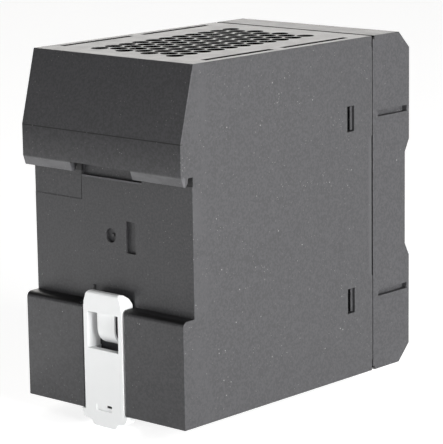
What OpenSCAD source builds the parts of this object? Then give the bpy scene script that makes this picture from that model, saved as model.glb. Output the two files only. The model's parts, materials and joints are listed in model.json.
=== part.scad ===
// DIN rail power supply: moulded case and front cover, sliding rail latch, terminals and electronics.
// X runs across the housing, +Y points to the rail side, +Z up.
// The origin is the centre of the rail seat, on the wall that the rail lies against.

/* [Housing] */
// Width across the two sides
body_width = 55; // [55:1:62]
// Height from underside to top
body_height = 90; // [90:1:100]
// Distance from the rail seat to the front face
front_depth = 86; // [86:0.5:90]
// How far the hood and the lower block stand behind the rail seat
rear_step = 4.1; // [3.8:0.1:5]
// Distance from the rail seat to the joint between case and cover
seam_depth = 70.2; // [70:0.1:70.4]
// Moulded wall thickness
wall = 2; // [1.8:0.1:2.2]

/* [Rail seat] */
// Height of the mounting rail
rail_height = 35; // [35:0.1:35.4]
// Half width of the notch in the hooked lip
notch_half = 10.5; // [8:0.5:12]

/* [Vents] */
// Distance between neighbouring vent holes
vent_pitch = 5; // [4.8:0.1:5.4]
// Diameter of one vent hole
vent_hole = 4.6; // [3:0.1:4.7]

/* [Latch] */
// Width of the slider
latch_width = 13.4; // [12:0.1:13.6]
// Opening and closing stroke of the slider
latch_stroke = 4.5; // [3.5:0.1:4.5]

/* [Terminals] */
// Distance between neighbouring wire entries
pole_pitch = 10; // [9:0.5:10]
// Diameter of one wire entry
wire_hole = 3.8; // [3:0.1:4]

/* [Hidden] */
$fn = 48;

half_width = body_width / 2;
half_height = body_height / 2;
seam_gap = 0.3;
case_front = -seam_depth + seam_gap / 2;
cover_rear = -seam_depth - seam_gap / 2;

// Rear side: hood above, hooked lip, rail seat, lower block.
hood_rear = rear_step - 0.1;
hood_setback = 0.9;
hood_crease = half_height - 18.9;
rail_play = 0.1;
groove_top = rail_height / 2 + rail_play;
block_top = -rail_height / 2 - rail_play;
block_round = 1.5;
rear_wall = 2.2;
hood_slope = (hood_rear + hood_setback) / (half_height - hood_crease);

// Latch channel in the lower block.
channel_half = latch_width / 2 + 0.55;
channel_floor = -0.6;
guide_depth = 1.05;
guide_low = 0.4;
guide_high = 2;
latch_face = rear_step + 0.25;
window_half = 5.35;
window_low = -29;
window_high = -19.5;
head_top = -14;
foot_top = -half_height - 0.05;
tool_slot_low = -half_height + 1.25;
tool_slot_high = -half_height + 1.75;

// Snap hooks of the cover in the side windows of the case.
snap_height = 24.25;
snap_half = 3.05;
snap_rear = -59.6;
snap_front = -62.5;
hook_tip = half_width - 0.4;

// Front cover.
corner_cut = 4.5;
band_high = 15.9;
band_low = 12.5;
band_depth = 1.8;

// Boards. Parts of the main board stand towards -X.
board_x = 19.4;
board_thick = 1.6;
board_half = 42.3;
board_front = -65.9;
panel_front = -67.6;

// Terminals.
output_poles = 4;
input_poles = 3;
terminal_half = 8.4;
terminal_mid = 28.4;
terminal_face = -front_depth + 0.8;
wire_offset = 2.6;
cavity_front = terminal_face + 4;
cavity_half = 7;

// Voltage trimmer and lamp, side by side on the recessed band.
control_x = 14;
trimmer_z = -5;
lamp_z = 5.5;
rotor_radius = 1.75;

function arc(centre, radius, from, to, steps = 8) =
    [for (i = [0 : steps]) let (a = from + (to - from) * i / steps)
        centre + radius * [cos(a), sin(a)]];
function reversed(list) = [for (i = [len(list) - 1 : -1 : 0]) list[i]];
function unit(v) = v / norm(v);
function left_of(v) = [-v[1], v[0]];
// Sideways direction of a path at its point i.
function path_side(path, i) =
    left_of(unit(path[min(i + 1, len(path) - 1)] - path[max(i - 1, 0)]));
// Outline of a strip of constant thickness along a path.
function ribbon(path, thick) = concat(
    [for (i = [0 : len(path) - 1]) path[i] + path_side(path, i) * thick / 2],
    reversed([for (i = [0 : len(path) - 1]) path[i] - path_side(path, i) * thick / 2]));

// A box given by its ranges along X, Y and Z.
module span(x, y, z) {
    translate([x[0], y[0], z[0]]) cube([x[1] - x[0], y[1] - y[0], z[1] - z[0]]);
}
// Extrudes a (Y, Z) outline along X, centred.
module along_x(width) {
    rotate([90, 0, 90]) linear_extrude(width, center = true) children();
}
// Extrudes an (X, Z) outline between two Y values.
module along_y(range) {
    translate([0, range[1], 0]) rotate([90, 0, 0]) linear_extrude(range[1] - range[0]) children();
}
// A round rod along Y.
module rod_y(x, z, range, radius) {
    along_y(range) translate([x, z]) circle(radius);
}
module both_sides() {
    children();
    mirror([1, 0, 0]) children();
}
module top_and_bottom() {
    children();
    mirror([0, 0, 1]) children();
}
// Places a part on the main board: its own Z points away from the board, its X up the housing.
module on_board(y, z) {
    translate([board_x, y, z]) rotate([0, -90, 0]) children();
}
// A box standing on the main board: length along Y, width along Z, height away from the board.
module board_box(length, width, height, lift = 0) {
    translate([-width / 2, -length / 2, lift]) cube([width, length, height]);
}

// ---------------------------------------------------------------- case

case_outline = concat(
    [[case_front, -half_height], [rear_step, -half_height]],
    arc([rear_step - block_round, block_top - block_round], block_round, 0, 90),
    [[0, block_top], [0, groove_top], [1.4, groove_top], [1.7, groove_top - 1.3],
        [2.4, groove_top - 2.2], [3.2, groove_top - 2], [hood_rear, groove_top + 0.4],
        [hood_rear, hood_crease], [-hood_setback, half_height], [case_front, half_height]]);

cavity_top = half_height - wall;
cavity_outline = [[case_front - 1, -cavity_top], [-rear_wall, -cavity_top],
    [-rear_wall, groove_top + wall + 0.4], [hood_rear - wall, groove_top + wall + 0.4],
    [hood_rear - wall, hood_crease],
    [hood_rear - wall - (cavity_top - hood_crease) * hood_slope, cavity_top],
    [case_front - 1, cavity_top]];

vent_mid = -35.2;
module vent_holes() {
    for (column = [-3 : 3]) {
        rows = column % 2 == 0 ? 10 : 11;
        for (row = [0 : rows - 1])
            translate([column * vent_pitch * sin(60), vent_mid + (row - (rows - 1) / 2) * vent_pitch,
                cavity_top - 0.5]) cylinder(h = wall + 1, d = vent_hole, $fn = 24);
    }
}
slot_length = 25.5;
slot_bridge = 4;
slot_inner = half_width - 4.15;
slot_outer = half_width - 2.25;
module edge_slots() {
    both_sides() for (end = [-1, 1])
        translate([0, end * (slot_length + slot_bridge) / 2 - seam_depth / 2 - 0.4, 0])
            span([slot_inner, slot_outer], [-slot_length / 2, slot_length / 2],
                [cavity_top - 0.5, half_height + 0.5]);
}
module snap_windows() {
    both_sides() top_and_bottom()
        span([half_width - wall - 0.5, half_width + 0.5], [snap_front, snap_rear],
            [snap_height - snap_half - 0.3, snap_height + snap_half + 0.3]);
}
// The channel runs on under the latch head as a pocket in the wall.
module latch_channel() {
    span([-channel_half, channel_half], [channel_floor, rear_step + 1],
        [-half_height - 1, block_top]);
    span([-channel_half, channel_half], [channel_floor, 0.5], [block_top - 1, head_top + 0.4]);
    both_sides() span([channel_half - 0.1, channel_half + guide_depth], [guide_low, guide_high],
        [-half_height - 1, window_high - 1.5]);
}
module lip_notch() {
    span([-notch_half, notch_half], [0, rear_step + 1], [groove_top - 3, groove_top + 0.4]);
    span([-notch_half + 0.1, notch_half - 0.1], [-1.2, 0.5], [groove_top - 3.3, groove_top + 0.4]);
}
// The groove behind the lip is a little deeper than the seat, and so is a field beside the notch.
// The round gate mark and a tall pocket lie in the middle.
module seat_marks() {
    both_sides() span([notch_half, half_width + 1], [-0.2, 0.5], [groove_top - 2.4, groove_top]);
    span([notch_half, half_width + 1], [-0.2, 0.5], [groove_top - 9.7, groove_top - 2]);
    rod_y(0.6, -0.2, [-1, 0.5], 1.8);
    span([-7.9, -4.7], [-1, 0.5], [-4.05, 4.05]);
}
module board_guides() {
    top_and_bottom() for (x = [[board_x - 1, board_x - 0.15],
            [board_x + board_thick + 0.15, board_x + board_thick + 1.2]])
        span(x, [-62, -1.5], [board_half - 1.1, cavity_top + 0.5]);
    top_and_bottom() both_sides()
        span([half_width - 5.4, half_width - wall + 0.5], [panel_front + board_thick, -58],
            [37, cavity_top + 0.5]);
}
module main_case() {
    color("dimgray") difference() {
        union() {
            difference() {
                along_x(body_width) polygon(case_outline);
                along_x(body_width - 2 * wall) polygon(cavity_outline);
                both_sides() span([channel_half + guide_depth + 1.1, half_width - wall],
                    [-rear_wall - 1, rear_step - wall], [-cavity_top, block_top - wall]);
            }
            board_guides();
        }
        top_and_bottom() {
            vent_holes();
            edge_slots();
        }
        snap_windows();
        latch_channel();
        lip_notch();
        seat_marks();
        // The joint opens a little wider over the middle of each side, and over the top and underside.
        both_sides() span([half_width - wall - 1, half_width + 1], [case_front - 1, case_front + 0.25],
            [-18.8, 18.8]);
        top_and_bottom() span([-half_width - 1, half_width + 1], [case_front - 1, case_front + 0.3],
            [cavity_top - 1, half_height + 1]);
    }
}

// ---------------------------------------------------------------- cover

cover_outline = [[cover_rear, -half_height], [cover_rear, half_height],
    [corner_cut - front_depth, half_height], [-front_depth, half_height - corner_cut],
    [-front_depth, band_high], [band_depth - front_depth, band_low],
    [band_depth - front_depth, -band_low], [-front_depth, -band_high],
    [-front_depth, corner_cut - half_height], [corner_cut - front_depth, -half_height]];
inner_cut = corner_cut - 1.2;
cover_cavity = [[cover_rear + 1, -cavity_top], [cover_rear + 1, cavity_top],
    [wall + inner_cut - front_depth, cavity_top], [wall - front_depth, cavity_top - inner_cut],
    [wall - front_depth, band_high - 0.6], [wall + band_depth - front_depth, band_low - 0.6],
    [wall + band_depth - front_depth, 0.6 - band_low], [wall - front_depth, 0.6 - band_high],
    [wall - front_depth, inner_cut - cavity_top], [wall + inner_cut - front_depth, -cavity_top]];

rim_inner = half_width - 3.3;
module cover_ring(outset, range) {
    difference() {
        span([-half_width + outset, half_width - outset], range,
            [-half_height + outset, half_height - outset]);
        span([-rim_inner, rim_inner], [range[0] - 1, range[1] + 1],
            [-half_height + 3.3, half_height - 3.3]);
    }
}
module snap_arm() {
    arm_x = half_width - wall - 0.2;
    span([arm_x - 1.6, arm_x], [cover_rear - 2, snap_rear + 0.8],
        [snap_height - snap_half, snap_height + snap_half]);
    translate([0, 0, snap_height - snap_half]) linear_extrude(2 * snap_half)
        polygon([[arm_x - 0.1, snap_rear - 0.05], [hook_tip, snap_rear - 1.55],
            [hook_tip, snap_front + 0.2], [arm_x - 0.1, snap_front + 0.2]]);
}
label_x = [-20, 8];
label_half = 9.5;
module front_cover() {
    color("dimgray") difference() {
        union() {
            difference() {
                along_x(body_width) polygon(cover_outline);
                along_x(body_width - 2 * wall) polygon(cover_cavity);
            }
            cover_ring(wall - 0.5, [cover_rear - 2, cover_rear]);
            cover_ring(wall + 0.1, [cover_rear - 0.5, cover_rear + 2]);
            both_sides() top_and_bottom() snap_arm();
        }
        both_sides() top_and_bottom()
            span([half_width - 1.5, half_width + 1], [1.1 - front_depth, cover_rear - 2.15],
                [snap_height - 0.8, snap_height + 0.8]);
        for (side = [[output_poles, 1], [input_poles, -1]])
            translate([0, 0, side[1] * terminal_mid])
                span([-terminal_width(side[0]) / 2 - 0.2, terminal_width(side[0]) / 2 + 0.2],
                    [-front_depth - 1, wall - front_depth + 1],
                    [-terminal_half - 0.2, terminal_half + 0.2]);
        rod_y(control_x, trimmer_z, [-front_depth, wall + band_depth + 1 - front_depth], 2.1);
        rod_y(control_x, lamp_z, [-front_depth, wall + band_depth + 1 - front_depth], 1.55);
        span(label_x, [-front_depth, band_depth + 0.3 - front_depth], [-label_half, label_half]);
    }
}
module front_label() {
    color("silver") span([label_x[0] + 0.2, label_x[1] - 0.2],
        [band_depth + 0.05 - front_depth, band_depth + 0.3 - front_depth],
        [0.2 - label_half, label_half - 0.2]);
}

// ---------------------------------------------------------------- latch

// The tongue hangs from the top of the window and curls in to the channel floor.
tongue_straight = -23.7;
tongue_face = 3.2;
tongue_curl = 72;
module latch_tongue() {
    bend = 4.4;
    thick = 0.6;
    along_x(6) polygon(concat(
        [[tongue_face, window_high + 0.5]],
        arc([tongue_face - bend, tongue_straight], bend, 0, -tongue_curl),
        reversed(arc([tongue_face - bend, tongue_straight], bend - thick, 0, -tongue_curl)),
        [[tongue_face - thick, window_high + 0.5]]));
}
module latch_head() {
    half = latch_width / 2;
    head_low = head_top - 4;
    intersection() {
        along_x(latch_width) polygon([[0.1, head_low], [0.1, head_top - 2.6], [0.75, head_top - 1.4],
            [2.2, head_top - 0.3], [3.9, head_top - 0.15], [latch_face, head_top - 0.6],
            [latch_face, head_low]]);
        along_y([0, latch_face]) polygon([[-half, head_low], [-half, head_top - 3],
            [0.8 - half, head_top - 0.9], [1.6 - half, head_top], [half - 1.6, head_top],
            [half - 0.8, head_top - 0.9], [half, head_top - 3], [half, head_low]]);
    }
}
// Half of the pull foot's outline, from its top corner down to its flat base.
function foot_side() = concat([[8, foot_top], [7.9, foot_top - 1.1]],
    arc([6.1, foot_top - 1], 1.5, 0, -60, 4), arc([3, foot_top - 2.5], 1.5, -10, -80, 4));
module latch_foot() {
    along_y([0.9, latch_face])
        polygon(concat(foot_side(), reversed([for (p = foot_side()) [-p[0], p[1]]])));
}
module rail_latch() {
    half = latch_width / 2;
    color("white") difference() {
        union() {
            difference() {
                span([-half, half], [-0.2, latch_face], [-half_height - 0.5, block_top - 0.3]);
                span([-window_half, window_half], [-1, latch_face + 1], [window_low, window_high]);
                span([1.6 - half, half - 1.6], [-1, latch_face - 1.8],
                    [2.2 - half_height, window_low + 0.5]);
            }
            latch_head();
            latch_tongue();
            latch_foot();
            both_sides() span([half - 0.1, channel_half + guide_depth - 0.25],
                [guide_low + 0.25, guide_high - 0.25],
                [latch_stroke + 0.5 - half_height, window_high - 4.5]);
        }
        // Tool slot and its shallow guide.
        span([-2.6, -0.9], [-1, latch_face + 1], [tool_slot_low, tool_slot_high]);
        span([-2.6, 2.8], [latch_face - 0.2, latch_face + 1], [0.2 - half_height, tool_slot_high]);
    }
}

// ---------------------------------------------------------------- terminals

function terminal_width(poles) = poles * pole_pitch + 1.8;
function pole_x(pole, poles) = (pole - (poles - 1) / 2) * pole_pitch;

// Spring-clamp terminal row. Its wire entries are on the side towards +Z.
module terminal_body(poles) {
    half = terminal_width(poles) / 2;
    difference() {
        span([-half, half], [terminal_face, panel_front], [-terminal_half, terminal_half]);
        for (pole = [0 : poles - 1]) translate([pole_x(pole, poles), 0, 0]) {
            span([-3.8, 3.8], [cavity_front, panel_front + 1], [-cavity_half, cavity_half]);
            rod_y(0, wire_offset, [terminal_face - 1, cavity_front + 1], wire_hole / 2);
            translate([0, terminal_face - 0.01, wire_offset]) rotate([-90, 0, 0])
                cylinder(h = 1, r1 = wire_hole / 2 + 0.8, r2 = wire_hole / 2);
            span([-1.8, 1.8], [terminal_face - 1, cavity_front + 1], [-4.6, -3]);
            span([-0.25, 0.25], [terminal_face - 1, terminal_face + 0.4], [-7.4, -5.6]);
        }
    }
}
module clamp_springs(poles) {
    path = concat([[-70, -6.2]], arc([cavity_front + 2, -4.9], 1.3, 270, 130), [[-72.6, 4.7]]);
    for (pole = [0 : poles - 1])
        translate([pole_x(pole, poles), 0, 0]) along_x(4.6) polygon(ribbon(path, 0.45));
}
bar_low = 5.5;
bar_high = 6.5;
module current_bars(poles) {
    for (pole = [0 : poles - 1]) translate([pole_x(pole, poles), 0, 0]) {
        span([-2.8, 2.8], [cavity_front + 0.6, panel_front], [bar_low, bar_high]);
        span([-0.7, 0.7], [panel_front - 0.5, panel_front + board_thick + 1.2], [bar_low, bar_high]);
    }
}
module at_output() {
    translate([0, 0, terminal_mid]) children();
}
module at_input() {
    translate([0, 0, -terminal_mid]) mirror([0, 0, 1]) children();
}
module output_terminal_body() {
    color("slategray") at_output() terminal_body(output_poles);
}
module output_clamp_springs() {
    color("silver") at_output() clamp_springs(output_poles);
}
module output_current_bars() {
    color("peru") at_output() current_bars(output_poles);
}
module input_terminal_body() {
    color("slategray") at_input() terminal_body(input_poles);
}
module input_clamp_springs() {
    color("silver") at_input() clamp_springs(input_poles);
}
module input_current_bars() {
    color("peru") at_input() current_bars(input_poles);
}

// ---------------------------------------------------------------- adjuster and lamp

module trimmer_body() {
    color("steelblue") difference() {
        span([control_x - 3.4, control_x + 3.4], [panel_front - 4.8, panel_front],
            [trimmer_z - 3.4, trimmer_z + 3.4]);
        rod_y(control_x, trimmer_z, [panel_front - 6, panel_front - 2], rotor_radius + 0.05);
    }
}
module trimmer_rotor() {
    tip = band_depth + 0.6 - front_depth;
    color("white") difference() {
        rod_y(control_x, trimmer_z, [tip, panel_front - 2.2], rotor_radius);
        span([control_x - 2, control_x + 2], [tip - 1, tip + 0.9], [trimmer_z - 0.35, trimmer_z + 0.35]);
        span([control_x - 0.35, control_x + 0.35], [tip - 1, tip + 0.9], [trimmer_z - 1, trimmer_z + 1]);
    }
}
module status_led() {
    color("limegreen") translate([control_x, panel_front, lamp_z]) rotate([90, 0, 0]) {
        cylinder(h = 0.8, r = 1.8);
        cylinder(h = 3.4, r = 1.45);
        translate([0, 0, 3.4]) sphere(r = 1.45);
    }
}
module light_pipe() {
    inner = wall + band_depth - front_depth;
    color("lightcyan") union() {
        rod_y(control_x, lamp_z, [band_depth - 0.3 - front_depth, panel_front - 5.2], 1.5);
        rod_y(control_x, lamp_z, [inner, inner + 1], 2.2);
    }
}

// ---------------------------------------------------------------- boards

module main_board() {
    color("darkgreen") span([board_x, board_x + board_thick], [board_front, -4.5],
        [-board_half, board_half]);
}
module terminal_board() {
    color("darkgreen") difference() {
        span([-half_width + 4.3, half_width - 4.3], [panel_front, panel_front + board_thick],
            [3 - half_height, half_height - 3]);
        for (side = [[output_poles, 1], [input_poles, -1]])
            for (pole = [0 : side[0] - 1])
                translate([pole_x(pole, side[0]), 0, side[1] * (terminal_mid + (bar_low + bar_high) / 2)])
                    rod_y(0, 0, [panel_front - 1, panel_front + board_thick + 1], 1);
    }
}
// Bent pins that join the two boards on the solder side of the main board.
module board_link_pins() {
    corner = board_x + board_thick;
    path = [[corner + 0.3, -60.5], [corner + 0.3, -61.5], [corner + 0.9, -62.3],
        [corner + 0.9, panel_front + board_thick]];
    color("gold") for (z = [-34, -30, -26, 10, 14, 22, 26, 30])
        translate([0, 0, z - 0.3]) linear_extrude(0.6) polygon(ribbon(path, 0.6));
}
module insulation_sheet() {
    color("ivory") span([half_width - wall - 0.5, half_width - wall - 0.1], [-57, -2.6],
        [-cavity_top + 0.2, cavity_top - 0.2]);
}
module control_board() {
    color("darkgreen") on_board(-48, -3) board_box(22, 1.2, 22);
}
module control_chips() {
    color("black") on_board(-48, -3) {
        translate([1.85, 5, 12]) board_box(5, 2.5, 4);
        for (y = [-6, 0]) translate([1.85, y, 4]) board_box(4.6, 2.5, 6.4);
        translate([1.35, -5, 14]) board_box(4, 1.5, 5);
    }
}

// ---------------------------------------------------------------- mains side

fuse_y = -52.5;
fuse_z = -38;
fuse_lift = 4.4;
module fuse_barrel(from, to, radius) {
    on_board(fuse_y, fuse_z) translate([0, from, fuse_lift]) rotate([-90, 0, 0])
        cylinder(h = to - from, r = radius);
}
module fuse_body() {
    color("white") fuse_barrel(-5.4, 5.4, 2.3);
}
module fuse_caps() {
    color("silver") for (end = [[-10, -5.4], [5.4, 10]]) fuse_barrel(end[0], end[1], 2.5);
}
module fuse_clips() {
    arms = concat([[2.9, 7.6]], arc([0, fuse_lift], 2.75, 20, -200, 16), [[-2.9, 7.6]]);
    color("goldenrod") for (y = [-7.7, 7.7]) on_board(fuse_y + y, fuse_z) {
        rotate([90, 0, 0]) linear_extrude(3.2, center = true) polygon(ribbon(arms, 0.4));
        board_box(3, 1.6, fuse_lift - 2.75);
    }
}
// A coated disc standing on edge, its faces along the given direction.
module standing_disc(radius, thick) {
    translate([0, 0, radius + 1.5]) rotate([90, 0, 0])
        rotate_extrude() polygon(concat([[0, -thick / 2], [radius - 1, -thick / 2]],
            arc([radius - 1, 0], 1, -60, 60, 6), [[radius - 1, thick / 2], [0, thick / 2]]));
}
module varistor() {
    color("royalblue") on_board(-60.5, -27.5) standing_disc(6, 4.2);
}
module inrush_thermistor() {
    color("darkslategray") on_board(-9, -33) standing_disc(5, 5);
}
module x_capacitor() {
    color("gold") on_board(-46, -27) board_box(18, 9, 16);
}
y_capacitor_places = [[-8, -3], [-62.7, -17]];
module y_capacitors() {
    color("deepskyblue") for (place = y_capacitor_places) on_board(place[0], place[1])
        standing_disc(4, 3.4);
}
choke_y = -25.5;
choke_z = -30.2;
choke_lift = 3.4;
choke_tall = 9;
module choke_core() {
    color("darkslategray") on_board(choke_y, choke_z) translate([0, 0, choke_lift])
        rotate_extrude() translate([6, 0]) square([4, choke_tall]);
}
// Two separate windings, each over nearly half of the ring.
module choke_windings() {
    color("orangered") on_board(choke_y, choke_z) for (half = [0, 180]) for (turn = [-4 : 4])
        rotate([0, 0, half + turn * 16]) translate([8, 0, choke_lift + choke_tall / 2])
            rotate([90, 0, 0]) linear_extrude(0.9, center = true) difference() {
                square([5.8, choke_tall + 1.8], center = true);
                square([4.1, choke_tall + 0.1], center = true);
            }
}
module choke_base() {
    color("black") on_board(choke_y, choke_z) difference() {
        cylinder(h = 2.4, r = 10.8);
        translate([0, 0, -1]) cylinder(h = 4, r = 4);
    }
}
module bridge_rectifier() {
    color("black") on_board(-8, -19) translate([0, 0, 4]) rotate([90, 0, 0])
        linear_extrude(3.6, center = true) difference() {
            polygon([[-7.5, 0], [7.5, 0], [7.5, 11], [-5.5, 11], [-7.5, 9]]);
            translate([0, 6.5]) circle(1.6);
        }
}
// An aluminium can with a crimped ring near its foot and a rolled top edge.
module can(radius, tall) {
    rotate_extrude() polygon(concat([[0, 0], [radius - 0.4, 0], [radius, 0.6], [radius, 2.6]],
        reversed(arc([radius, 3.3], 0.7, 90, 270, 6)),
        [[radius, 4], [radius, tall - 0.7], [radius - 0.7, tall], [radius - 1.4, tall],
            [radius - 1.6, tall - 0.4], [0, tall - 0.4]]));
}
module bulk_capacitor() {
    color("midnightblue") on_board(-24, -8) can(11, 38);
}

// ---------------------------------------------------------------- power stages

sink_length = 22;
sink_tall = 34;
device_lift = 18;
screw_lift = 30.2;
// A plate on edge whose top is folded over; the devices sit on the side towards -X of its own frame.
module heatsink(devices) {
    difference() {
        rotate([90, 0, 0]) linear_extrude(sink_length, center = true)
            polygon([[0, 0], [2, 0], [2, sink_tall - 2], [6, sink_tall - 2], [6, sink_tall],
                [0, sink_tall]]);
        for (y = devices) translate([-1, y, screw_lift]) rotate([0, 90, 0]) cylinder(h = 4, r = 1.45);
    }
}
module device_body() {
    translate([-4.5, -5.1, device_lift - 1]) cube([3.1, 10.2, 9]);
}
module device_frame() {
    difference() {
        translate([-1.4, -5.1, device_lift]) cube([1.35, 10.2, 15.2]);
        translate([-2, 0, screw_lift]) rotate([0, 90, 0]) cylinder(h = 3, r = 1.8);
    }
    for (y = [-2.54, 0, 2.54]) translate([-2.6, y - 0.4, 0]) cube([0.6, 0.8, device_lift - 1]);
}
module device_screw() {
    translate([-1.4, 0, screw_lift]) rotate([0, 90, 0]) cylinder(h = 5.4, r = 1.4);
    translate([-3.6, 0, screw_lift]) rotate([0, 90, 0]) difference() {
        cylinder(h = 2.2, r = 2.8);
        translate([-0.35, -1.8, -1]) cube([0.7, 3.6, 1.8]);
        translate([-1.8, -0.35, -1]) cube([3.6, 0.7, 1.8]);
    }
}
module at_switch() {
    on_board(-49, -11) children();
}
module at_diodes() {
    on_board(-51, 8) mirror([1, 0, 0]) children();
}
diode_places = [-5.3, 5.3];
module switch_heatsink() {
    color("gainsboro") at_switch() heatsink([0]);
}
module switch_transistor() {
    color("black") at_switch() device_body();
}
module switch_leadframe() {
    color("silver") at_switch() device_frame();
}
module switch_screw() {
    color("silver") at_switch() device_screw();
}
module output_heatsink() {
    color("gainsboro") at_diodes() heatsink(diode_places);
}
module output_diodes() {
    color("black") at_diodes() for (y = diode_places) translate([0, y, 0]) device_body();
}
module diode_leadframes() {
    color("silver") at_diodes() for (y = diode_places) translate([0, y, 0]) device_frame();
}
module output_diode_screws() {
    color("silver") at_diodes() for (y = diode_places) translate([0, y, 0]) device_screw();
}

transformer_y = -20;
transformer_z = 20.5;
module at_transformer() {
    on_board(transformer_y, transformer_z) children();
}
module core_half() {
    rotate([90, 0, 90]) linear_extrude(12, center = true) difference() {
        translate([-16.5, 3.2]) square([33, 13.4]);
        for (side = [-1, 1]) translate([side * 8.25 - 3.25, 8.7]) square([6.5, 9]);
    }
}
module transformer_core() {
    color("dimgray") at_transformer() {
        core_half();
        translate([0, 0, 33.3]) mirror([0, 0, 1]) core_half();
    }
}
module transformer_bobbin() {
    color("black") at_transformer() difference() {
        union() {
            board_box(22.4, 27, 1, 8.9);
            board_box(22.4, 27, 1, 23.4);
            board_box(12.2, 14.2, 15.5, 8.9);
            for (side = [-1, 1]) translate([side * 10.3, 0, 0]) board_box(22.4, 6.4, 8.95);
        }
        board_box(10.4, 12.4, 40, 5);
    }
}
module transformer_winding() {
    color("gold") at_transformer() difference() {
        board_box(22, 26, 13.1, 10.1);
        board_box(12.4, 14.4, 20, 8);
    }
}
inductor_y = -47;
inductor_z = 23;
module output_inductor_core() {
    color("darkslategray") on_board(inductor_y, inductor_z) rotate_extrude()
        polygon([[0, 0], [6.5, 0], [6.5, 1.5], [2.6, 1.5], [2.6, 13.5], [6.5, 13.5], [6.5, 15], [0, 15]]);
}
module output_inductor_winding() {
    color("peru") on_board(inductor_y, inductor_z) translate([0, 0, 1.7])
        rotate_extrude() polygon([[2.8, 0], [5.9, 0], [5.9, 11.6], [2.8, 11.6]]);
}
output_can_places = [[-59.4, 36], [-48.4, 36], [-59.4, 24.8]];
module output_capacitors() {
    color("midnightblue") for (place = output_can_places) on_board(place[0], place[1]) can(5, 25);
}
// Wire legs under the discs and the rectifier.
module component_leads() {
    color("silver") {
        for (place = [[-60.5, -27.5], [-9, -33], [-8, -3], [-62.7, -17]])
            on_board(place[0], place[1]) for (side = [-1.8, 1.8])
                translate([side, 0, 0]) cylinder(h = 1.6, r = 0.35, $fn = 16);
        on_board(-8, -19) for (leg = [-5.4, -1.8, 1.8, 5.4])
            translate([leg, 0, 0]) board_box(0.6, 1, 4);
    }
}

main_case();
front_cover();
rail_latch();
output_terminal_body();
output_clamp_springs();
output_current_bars();
input_terminal_body();
input_clamp_springs();
input_current_bars();
trimmer_body();
trimmer_rotor();
status_led();
light_pipe();
front_label();
main_board();
terminal_board();
board_link_pins();
insulation_sheet();
fuse_body();
fuse_caps();
fuse_clips();
varistor();
inrush_thermistor();
x_capacitor();
y_capacitors();
choke_core();
choke_windings();
choke_base();
bridge_rectifier();
bulk_capacitor();
switch_heatsink();
switch_transistor();
switch_leadframe();
switch_screw();
transformer_core();
transformer_bobbin();
transformer_winding();
output_heatsink();
output_diodes();
diode_leadframes();
output_diode_screws();
output_inductor_core();
output_inductor_winding();
output_capacitors();
control_board();
control_chips();
component_leads();
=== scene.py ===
import json
import math

import bmesh
import bpy
from mathutils import Matrix, Vector


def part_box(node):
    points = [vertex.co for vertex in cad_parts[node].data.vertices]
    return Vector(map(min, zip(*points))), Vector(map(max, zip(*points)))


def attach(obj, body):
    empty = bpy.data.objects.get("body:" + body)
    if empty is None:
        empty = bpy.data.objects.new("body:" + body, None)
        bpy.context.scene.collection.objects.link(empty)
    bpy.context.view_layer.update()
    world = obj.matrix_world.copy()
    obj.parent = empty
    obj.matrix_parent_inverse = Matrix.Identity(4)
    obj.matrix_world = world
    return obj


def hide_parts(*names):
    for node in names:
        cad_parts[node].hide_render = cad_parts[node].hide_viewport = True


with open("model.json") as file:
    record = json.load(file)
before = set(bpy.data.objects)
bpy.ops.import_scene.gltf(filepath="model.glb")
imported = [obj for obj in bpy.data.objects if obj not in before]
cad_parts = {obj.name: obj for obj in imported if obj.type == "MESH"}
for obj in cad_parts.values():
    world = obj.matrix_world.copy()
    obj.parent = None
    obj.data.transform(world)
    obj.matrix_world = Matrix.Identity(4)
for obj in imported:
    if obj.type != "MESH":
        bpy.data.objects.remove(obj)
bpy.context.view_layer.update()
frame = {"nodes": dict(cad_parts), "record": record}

# Shapes are written in millimetres, in the frame's axes: X across, +Y to the rail, +Z up.
MM = 0.001

HALF_WIDTH = 27.5
HALF_HEIGHT = 45.0
FRONT = -86.0
REAR = 4.1
CASE_FRONT = -70.05
COVER_REAR = -70.35
WALL = 2.0
SEAT_TOP = 17.6
BLOCK_TOP = -17.6
HOOD_REAR = 4.0
HOOD_CREASE = 26.1
HOOD_SETBACK = 0.9
EDGE = 0.14
LATCH_FACE = 4.35
NOTCH_HALF = 10.4
NOTCH_FOOT = SEAT_TOP - 3.3
FIELD_EDGE = 10.5
TOP_SLOT = (23.35, 25.25)
JOINT_HALF = 18.8
SNAP_Z = (21.2, 27.3)
ADJUSTER = (14, -5)
LAMP = (14, 5.5)


# ---------------------------------------------------------------- mesh tools

AXES = {
    "x": lambda u, v, w: (w, u, v),
    "y": lambda u, v, w: (u, w, v),
    "z": lambda u, v, w: (u, v, w),
}


def object_from(name, bm):
    """A new object from a bmesh, with its normals pointing out."""
    bmesh.ops.recalc_face_normals(bm, faces=bm.faces)
    mesh = bpy.data.meshes.new(name)
    bm.to_mesh(mesh)
    bm.free()
    obj = bpy.data.objects.new(name, mesh)
    bpy.context.collection.objects.link(obj)
    return obj


def loft(name, *stacks):
    """One mesh of closed skins; each stack is a list of rings of points, capped at both ends."""
    bm = bmesh.new()
    for stack in stacks:
        rings = [[bm.verts.new(Vector(p) * MM) for p in ring] for ring in stack]
        bm.faces.new(rings[0])
        bm.faces.new(rings[-1])
        for low, high in zip(rings, rings[1:]):
            for i in range(len(low)):
                j = (i + 1) % len(low)
                bm.faces.new((low[i], low[j], high[j], high[i]))
    return object_from(name, bm)


def prism_rings(axis, outline, low, high):
    return [[AXES[axis](u, v, w) for u, v in outline] for w in (low, high)]


def prism(name, axis, outline, low, high):
    """An outline extruded along an axis. Outlines are (Y, Z), (X, Z) or (X, Y)."""
    return loft(name, prism_rings(axis, outline, low, high))


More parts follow.
